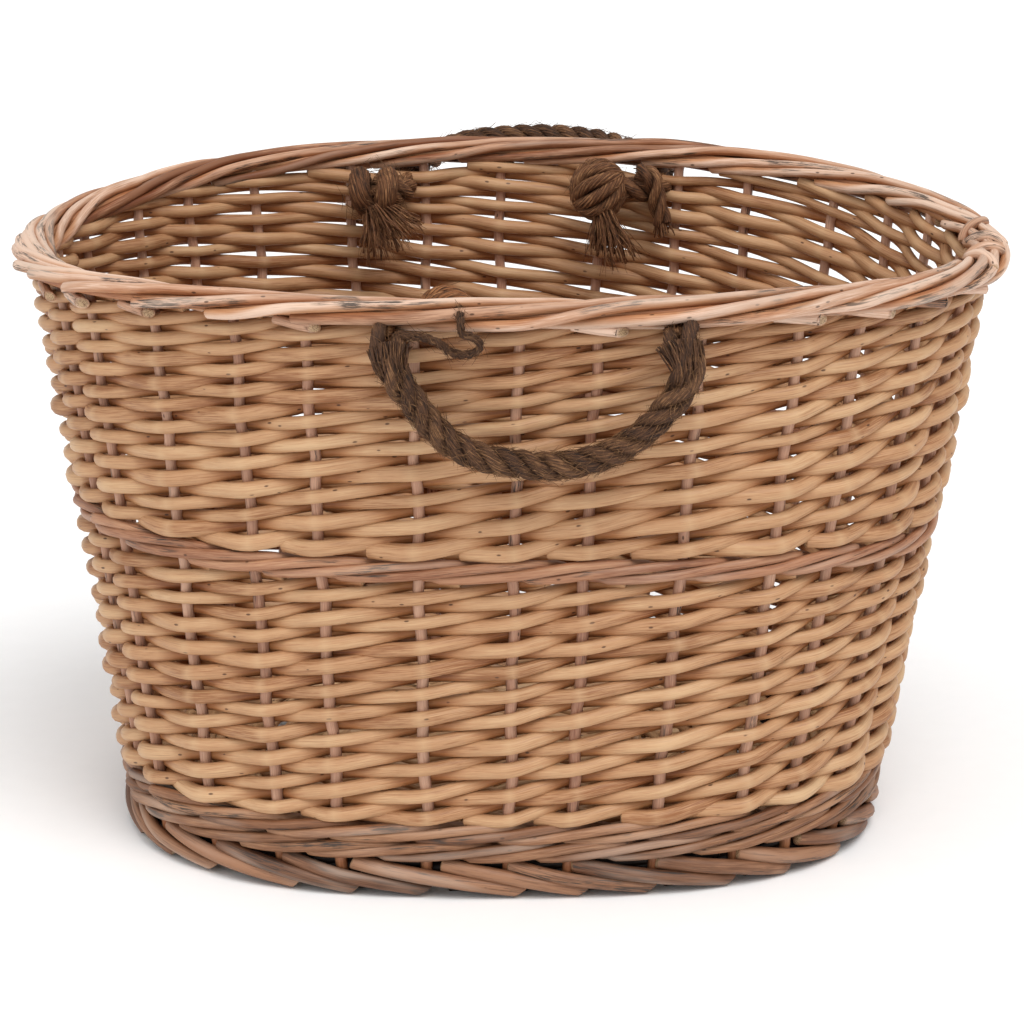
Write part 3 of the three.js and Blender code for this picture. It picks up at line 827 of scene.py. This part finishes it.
BASE_MIDDLE = 0.032
BASE_ROD_RADIUS = 2.9 * MM
BASE_EDGE = 5 * MM  # how far the outermost rods press out between the stakes
BASE_ROUNDS = 24
BASE_WAVE = 4.6 * MM  # how far a rod rises and falls about the sticks
LONG_STICK_RADIUS = 3.2 * MM
CROSS_STICK_RADIUS = 5.0 * MM
LONG_SPACING = 0.022
CROSS_SPACING = 0.050
LONG_STICKS = [LONG_SPACING * (k - 1) for k in range(3)]
CROSS_STICKS = [CROSS_SPACING * (k - 2.5) for k in range(6)]
BASE_TURNING = (0.135, 0.03)  # where the rods turn round the ends of the long sticks, and over what length


def add_base_stick(bundle, rng, start, end, radius):
    middle = ((start[0] + end[0]) / 2, (start[1] + end[1]) / 2)
    points = [(*place, BASE_MIDDLE) for place in (start, middle, end)]
    bundle.add(resampled(points, 0.01), radius, rng)


def add_base(rng):
    low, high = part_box("base_weave")
    centre = (low.x + high.x) / 2
    half = (high - low) / 2
    sticks = Bundle()
    reach = half.x + 4 * MM
    for y in LONG_STICKS:
        add_base_stick(sticks, rng, (centre - reach, y), (centre + reach, y), LONG_STICK_RADIUS)
    for x in CROSS_STICKS:
        reach = half.y * (1 - (abs(x) / half.x) ** FOOT_SQUARENESS) ** (1 / FOOT_SQUARENESS) + 2 * MM
        add_base_stick(sticks, rng, (centre + x, -reach), (centre + x, reach), CROSS_STICK_RADIUS)
    nodes = [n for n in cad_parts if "base_stick" in n]
    sticks.build("base_sticks", "base", nodes)
    rounds = Bundle()
    half = half + Vector((BASE_EDGE, BASE_EDGE, 0))
    turn = np.linspace(0, tau, 260)
    for number in range(BASE_ROUNDS):
        inset = (number + 0.5) / BASE_ROUNDS
        a = half.x * (1 - inset) + (half.x - half.y) * inset
        x, y = oval_place(turn, a, half.y * (1 - inset), FOOT_SQUARENESS)
        odd = (-1) ** number  # every second round passes the sticks on the other side
        over_cross = np.cos(pi * (x - CROSS_STICKS[3]) / CROSS_SPACING) * np.where(y > 0, -1, 1)
        over_long = np.cos(pi * y / LONG_SPACING)
        turning = np.clip((np.abs(x) - BASE_TURNING[0]) / BASE_TURNING[1], 0, 1)
        z = BASE_MIDDLE + BASE_WAVE * odd * (over_cross * (1 - turning) + over_long * turning)
        radius = BASE_ROD_RADIUS * rng.uniform(0.92, 1.08)
        rounds.add(np.stack([centre + x, y, z], -1), radius, rng, sides=8)
    rounds.build("base_weave_rods", "base", ("base_weave",))


# ---- Rope

STRANDS = 3
ROPE_LAY = 0.038  # one turn of the strands
ROPE_OPENED = 0.75  # how far the strands spread where they come out of the wall, and over what length
ROPE_OPENED_LENGTH = 0.050
ROPE_STEP = 1.8 * MM
STRAND_RADIUS = ROPE_DIAMETER / 2 / (1 + 2 / sqrt(3))
ROPE_TUCK = [(0.015, 0.0045), (0.008, 0.0040)]  # how far inward and up the rope's ends go on into the wall
HAIR_REACH = (0.004, 0.009)
# The opened yarns at a rope's ends: where they begin on the path, their number, how far some stand aside.
LEFT_COLLAR = (7, 110, (0.002, 0, 0))
RIGHT_COLLAR = (6, 130, (-0.0045, 0, 0))


def add_rope(bundle, rng, path, reference, scale=1.0, opened=1.0):
    """Three strands of twisted yarns laid round a path. opened draws the strands apart, and unlays them."""
    _, side, up = turning_frames(path, reference)
    opened = np.broadcast_to(opened, len(path))
    steps = np.diff(travelled(path)) / (1 + 2.2 * (opened[1:] - 1))
    along = np.concatenate([[0], np.cumsum(steps)])
    radius = STRAND_RADIUS * scale
    for strand in range(STRANDS):
        turn = tau * (strand / STRANDS + along / ROPE_LAY)
        away = side * np.cos(turn)[:, None] + up * np.sin(turn)[:, None]
        centre = path + away * (opened * radius * 2 / sqrt(3))[:, None]
        # Painted shade on each strand's side toward the rope's middle, and in the grooves between its
        # yarns.
        bundle.add(
            centre, radius * 1.03, rng, sides=48, reference=away[0], twist=110, ridges=12, ridge_depth=0.06,
            facing=away,
        )


def add_hairs(bundle, rng, path, reference, count, reach, around=0.0075):
    """Loose fibres that lift off a rope and lie along it, around its middle line at the given distance."""
    tangent, side, up = turning_frames(path, reference)
    for _ in range(count):
        place = rng.integers(1, len(path) - 1)
        turn = rng.uniform(0, tau)
        away = side[place] * cos(turn) + up[place] * sin(turn)
        across = np.cross(tangent[place], away)
        lean = unit(tangent[place] * rng.choice([-1, 1]) + across * rng.normal(0.35, 0.4))
        length = rng.uniform(*reach)
        t = np.linspace(0, 1, 7)[:, None]
        lift = 0.0022 * rng.uniform(0, 1) ** 2
        curl = rng.normal(0, 0.0013, 3)
        line = path[place] + away * (around + lift * t) + lean * length * t + curl * t**2
        radii = rng.uniform(0.11, 0.23) * MM * np.linspace(1, 0.5, 7)
        bundle.add(line, radii, rng, sides=4, reference=away)


def add_fray(bundle, rng, root, direction, count, length, spread, width, droop=0.0, thick=(0.14, 0.26)):
    """A rope end opened into fibres, or into yarns when they are thick. thick is in millimetres."""
    direction = unit(np.asarray(direction, float))
    across = unit(np.cross(direction, (0.3, 0.2, 1.0)))
    above = np.cross(direction, across)
    for _ in range(count):
        turn = rng.uniform(0, tau)
        far = sqrt(rng.uniform(0, 1))
        away = across * cos(turn) + above * sin(turn)
        reach = length * rng.uniform(0.55, 1.0)
        t = np.linspace(0, 1, 8)[:, None]
        wave = rng.normal(0, 0.06 * length, 3) * np.sin(t * pi * rng.uniform(0.8, 2.2))
        line = root + away * far * width + direction * reach * t
        line = line + away * far * spread * t**1.5 + wave * t
        line[:, 2] -= droop * (t[:, 0] ** 2)
        bundle.add(line, rng.uniform(*thick) * MM * np.linspace(1, 0.7, 8), rng, sides=5)


def add_collar(bundle, rng, path, reference, count, aside):
    """The opened yarns at the top of a rope, that run down from under the rim and close in on the rope."""
    _, side, up = turning_frames(path, reference)
    for _ in range(count):
        turn = rng.uniform(0, tau)
        last = rng.integers(8, 15)
        places = np.arange(last)
        closing = np.linspace(0, 1, last)[:, None]
        away = side[places] * cos(turn) + up[places] * sin(turn)
        radius = (0.0112 - 0.0052 * closing) * rng.uniform(0.85, 1.06)
        line = path[places] + away * radius + np.asarray(aside) * (1 - closing) ** 1.5 * rng.uniform(0, 1)
        line = line + rng.normal(0, 0.0007, 3) * np.sin(closing * pi * rng.uniform(0.6, 1.6))
        bundle.add(line, rng.uniform(0.3, 0.62) * MM, rng, sides=5, twist=-200)


def handle_path(side, lift):
    """The rope's centreline, from its left hole round to its right one."""
    start = [(HANDLE_LEFT, side * (HINGE_OUT - inward), HANDLE_HEIGHT + rise) for inward, rise in ROPE_TUCK]
    finish = [(HANDLE_RIGHT, y, z) for _, y, z in reversed(start)]
    outside = [
        (x, side * (HINGE_OUT + drop * sin(lift)), HANDLE_HEIGHT - drop * cos(lift))
        for x, drop in HANDLE_ROUTE[1:-1]
    ]
    return start + outside + finish


def add_handle(rng, name, side, lift, hair_count):
    """A handle's rope, its loose fibres and its opened ends. side is -1 in front, lift is from hanging."""
    route = handle_path(side, lift)
    path = resampled(route, ROPE_STEP)
    reference = (0, -side * cos(lift), -sin(lift))
    rope = Bundle()
    along = travelled(path)
    near_end = np.clip(1 - np.minimum(along, (along[-1] - along) * 0.8) / ROPE_OPENED_LENGTH, 0, 1)
    add_rope(rope, rng, path, reference, opened=1 + ROPE_OPENED * near_end**1.3)
    rope_piece = rope.build(f"{name}_laid_rope", "rope", (f"{name}_rope",), body=None)
    hairs = Bundle()
    add_hairs(hairs, rng, path, reference, hair_count, HAIR_REACH)
    hair_piece = hairs.build(f"{name}_loose_fibres", "fibre", body=None)
    collars = Bundle()
    for ordered, (begin, count, aside) in ((path, LEFT_COLLAR), (path[::-1], RIGHT_COLLAR)):
        add_collar(collars, rng, ordered[begin:], reference, count, aside)
    collar_piece = collars.build(f"{name}_opened_ends", "rope", body=None)
    for piece in (rope_piece, hair_piece, collar_piece):
        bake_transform(piece)


# ---- Stopper knots inside the wall

KNOT_RADII = np.array([0.018, 0.015, 0.020])
KNOT_CLEARANCE = 0.001  # between a knot and the wall
WEAVE_HALF = 0.009  # half the thickness of the wall
KNOT_ROPE_SCALE = 0.84
KNOT_STRAND_RADIUS = 3.9 * MM
KNOT_LOBE_RADIUS = 6.6 * MM
KNOT_STEP = 1.5 * MM
TAIL_WIDTH = 4.8 * MM
TAIL_YARNS = (0.55, 0.95)  # the radii of a tail's yarns, in millimetres
FRAYED_REACH = (0.004, 0.011)

# Each knot: its side of the basket, its hole, how far along from the hole and above it the knot lies, its
# form, and its tails. A tail has a place from the knot's middle, a direction, a length and a spread.
KNOTS = {
    "front_left_knot": (-1, HANDLE_LEFT, 0.032, 0.004, "ball", [
        ((-0.004, 0.006, -0.012), (0.1, 0.3, -1.0), 0.030, 0.008),
    ]),
    "front_right_knot": (-1, HANDLE_RIGHT, 0.0, -0.014, "trefoil", [
        ((0.0, 0.006, -0.012), (0.2, 0.3, -1.0), 0.034, 0.008),
    ]),
    "back_left_knot": (1, HANDLE_LEFT, -0.019, 0.002, "lobes", [
        ((0.002, -0.007, -0.006), (0.75, -0.15, -0.70), 0.032, 0.010),
        ((-0.002, -0.006, -0.008), (0.25, -0.1, -0.95), 0.034, 0.009),
    ]),
    "back_right_knot": (1, HANDLE_RIGHT, -0.039, 0.002, "ball", [
        ((0.004, -0.008, -0.012), (0.36, -0.15, -1.0), 0.036, 0.008),
        ((0.001, -0.006, -0.014), (0.02, -0.1, -1.0), 0.026, 0.004),
    ]),
}
BACK_TAIL_PLACE = (0.034, -0.002, 0.008)  # from the middle of the back right knot
BACK_TAIL_FALL = 0.030
# A lobe's middle line without its end: shares of the lobe's place along, distances outward, heights.
LOBE_STEPS = [
    (1, 0.006, -0.012), (1, 0.007, 0.002), (1.1, 0, 0.0095), (1.1, -0.0080, 0.003), (0.9, -0.0070, -0.004),
]


def trefoil(half):
    """The middle line of an overhand knot with its ends run together."""
    t = np.linspace(0, tau, 180)
    x = half[0] * (np.sin(t) + 2 * np.sin(2 * t)) / 2.7
    z = half[2] * (np.cos(t) - 2 * np.cos(2 * t)) / 2.7
    return np.stack([x, -half[1] * np.sin(3 * t), z], -1)


def wound_ball(half, turns, lean):
    """Turns of rope wound on a ball, that cross at two opposite points."""
    t = np.linspace(0, tau * turns, 60 * turns)
    tilt = np.linspace(radians(-70), radians(95), len(t))
    x, y, z = np.cos(t), np.sin(t) * np.sin(tilt), np.sin(t) * np.cos(tilt)
    c, s = cos(lean), sin(lean)
    return np.stack([c * x - s * z, y, s * x + c * z], -1) * half


def add_lobe(bundle, rng, centre, side, x, drop):
    """A fat strand that comes up from behind, over the top of the knot and down its front."""
    steps = LOBE_STEPS + [(0.5, -0.001, -drop)]
    path = resampled([centre + (x * spread, side * y, z) for spread, y, z in steps], KNOT_STEP)
    strand = {"sides": 64, "twist": 60, "ridges": 16, "ridge_depth": 0.05}
    bundle.add(path, KNOT_LOBE_RADIUS, rng, reference=(1, 0, 0), **strand)


def add_knot_body(rope, rng, centre, side, form):
    """The knot itself. Returns a line over its surface, where its loose fibres lie."""
    if form == "lobes":
        add_lobe(rope, rng, centre, side, -0.0080, 0.011)
        add_lobe(rope, rng, centre, side, 0.0080, 0.008)
        return centre + wound_ball(KNOT_RADII - 1.5 * MM, 5, 0.3)
    if form == "trefoil":
        surface = centre + trefoil(KNOT_RADII - ROPE_DIAMETER / 2 * KNOT_ROPE_SCALE)
        add_rope(rope, rng, surface, (0, 1, 0), KNOT_ROPE_SCALE)
        return surface
    surface = centre + wound_ball(KNOT_RADII + 0.5 * MM - KNOT_STRAND_RADIUS, 5, 0.45)
    # Painted shade on each turn's side toward the middle of the ball.
    facing = unit(surface - centre)
    rope.add(
        surface, KNOT_STRAND_RADIUS, rng, sides=40, reference=facing[0], twist=150, ridges=10,
        ridge_depth=0.08, facing=facing,
    )
    swell = np.sin(np.linspace(0.25, pi - 0.25, 14))
    core = centre + np.linspace(-0.010, 0.010, 14)[:, None] * (1, 0, 0)
    rope.add(core, 0.0115 * swell, rng, sides=16, shade=1.0)  # fills the ball, painted fully shaded
    return surface


def add_back_tail(opened, rng, root):
    """The rope's end that hangs beside the back right knot, and its short fray."""
    end = root + (0.007, 0.003, -BACK_TAIL_FALL)
    fall = resampled([root + (-0.008, 0.004, 0.004), root, (root + end) / 2, end], KNOT_STEP)
    add_rope(opened, rng, fall, (0, 1, 0), 0.74, np.linspace(1, 1.12, len(fall)))
    add_fray(opened, rng, end, (0.25, -0.05, -1.0), 26, 0.010, 0.003, 0.0050, 0.0, (0.4, 0.7))


def add_knot(rng, name, side, hole, shift, raised, form, tails):
    """The rope's end, brought in through the wall and tied in a knot beside its hole."""
    height = HANDLE_HEIGHT + raised
    inner = wall_depth(hole + shift, height - KNOT_RADII[2]) - WEAVE_HALF
    centre = np.array([hole + shift, side * (inner - KNOT_RADII[1] - KNOT_CLEARANCE), height])
    rope = Bundle()
    surface = add_knot_body(rope, rng, centre, side, form)
    lead = resampled([
        centre + (0, 0, 0.004),
        (hole + shift * 0.4, centre[1] + side * 0.002, height),
        (hole, centre[1] + side * 0.012, HANDLE_HEIGHT),
        (hole, side * (HINGE_OUT - 0.012), HANDLE_HEIGHT + 0.004),
    ], 2 * MM)
    add_rope(rope, rng, lead, (0, 0, 1), 0.95)
    material = "pale_knot" if name == "front_left_knot" else "knot"
    rope.build(f"{name}_laid_rope", material, (name,))
    fray = Bundle()
    add_hairs(fray, rng, surface, (0, 1, 0), 160, FRAYED_REACH, KNOT_STRAND_RADIUS)
    fray.build(f"{name}_loose_fibres", "fibre")
    opened = Bundle()
    for place, direction, length, spread in tails:
        root = centre + place
        add_fray(opened, rng, root, direction, 34, length, spread, TAIL_WIDTH, 2 * MM, TAIL_YARNS)
        add_fray(opened, rng, root, direction, 50, length * 1.1, spread * 1.4, TAIL_WIDTH, 2 * MM)
    if name == "back_right_knot":
        add_back_tail(opened, rng, centre + BACK_TAIL_PLACE)
    opened.build(f"{name}_opened_tail", "knot")


BOUND_YARN_LAY = 0.014  # one turn of its three parts
BOUND_YARN_RADIUS = 1.25 * MM


def add_bound_yarn(rng):
    """A loose yarn of the front rope, bound over the lowest rod of the rim and curled back under it."""
    line = resampled([
        (-0.0275, -0.2000, 0.3690), (-0.0272, -0.2130, 0.3700), (-0.0268, -0.2190, 0.3655),
        (-0.0262, -0.2195, 0.3600), (-0.0205, -0.2190, 0.3580), (-0.0165, -0.2185, 0.3545),
        (-0.0175, -0.2185, 0.3500), (-0.0240, -0.2180, 0.3475), (-0.0330, -0.2175, 0.3490),
        (-0.0385, -0.2170, 0.3535), (-0.0480, -0.2165, 0.3570), (-0.0600, -0.2150, 0.3580),
    ], KNOT_STEP) - (0, 0, FRONT_RIM_DIP)
    bundle = Bundle()
    for part in range(STRANDS):
        around = tau * (np.arange(len(line)) * KNOT_STEP / BOUND_YARN_LAY + part / STRANDS)
        offset = 1.1 * MM * np.stack([np.cos(around), np.sin(around), np.sin(around)], -1)
        bundle.add(line + offset, BOUND_YARN_RADIUS, rng, sides=10, twist=-300, ridges=5, ridge_depth=0.12)
    add_hairs(bundle, rng, line, (0, 0, 1), 160, FRAYED_REACH, 0.0022)
    bundle.build("front_bound_yarn", "rope")


# ---- Floor and light

FLOOR_HALF = 6.0
WORLD_STRENGTH = 0.65


def add_floor():
    mesh = bpy.data.meshes.new("floor")
    corners = [(x * FLOOR_HALF, y * FLOOR_HALF, 0) for x, y in ((-1, -1), (1, -1), (1, 1), (-1, 1))]
    mesh.from_pydata(corners, [], [(0, 1, 2, 3)])
    nodes = Nodes("floor_paint")
    speckle = nodes.noise(nodes.add("ShaderNodeTexCoord").outputs["Object"], (60, 60, 60))
    colour = nodes.mixed(speckle, from_srgb(250, 250, 250), from_srgb(254, 254, 254))
    nodes.set(Base_Color=colour, Roughness=0.8)
    mesh.materials.append(nodes.material)
    floor = linked("floor", mesh)


def add_sun(name, direction, spread, strength):
    """Even light from a direction, as soft as a wide studio lamp."""
    light = bpy.data.lights.new(name, "SUN")
    light.angle = radians(spread)
    light.energy = strength
    lamp = linked(name, light)
    lamp.rotation_euler = Vector(direction).to_track_quat("Z", "Y").to_euler()


def add_lights():
    world = bpy.data.worlds.new("studio")
    world.use_nodes = True
    background = world.node_tree.nodes["Background"]
    background.inputs["Color"].default_value = (1, 1, 1, 1)
    background.inputs["Strength"].default_value = WORLD_STRENGTH
    bpy.context.scene.world = world
    add_sun("key", (0.50, -0.90, 1.65), 38, 1.76)
    add_sun("fill", (-1.2, -0.9, 1.0), 70, 0.72)
    bpy.context.scene.view_settings.view_transform = "Standard"


# ---- The whole basket

seeded = np.random.default_rng
add_camera()
add_handle(seeded(11), "front_handle", -1, 0.0, 2200)
add_handle(seeded(12), "back_handle", 1, BACK_HANDLE_LIFT, 900)
for place, (knot_name, facts) in enumerate(KNOTS.items()):
    add_knot(seeded(20 + place), knot_name, *facts)
add_bound_yarn(seeded(30))
weave_block(seeded(1), BOTTOM_WALE_TOP, MIDDLE_WALE_BOTTOM, LOWER_RODS, "lower_weavers", "lower_randing")
weave_block(seeded(2), MIDDLE_WALE_TOP, WALL_TOP, UPPER_RODS, "upper_weavers", "upper_randing")
add_wales(seeded(3))
add_stakes(seeded(4))
add_rim(seeded(5))
add_foot(seeded(6))
add_base(seeded(7))
add_floor()
add_lights()
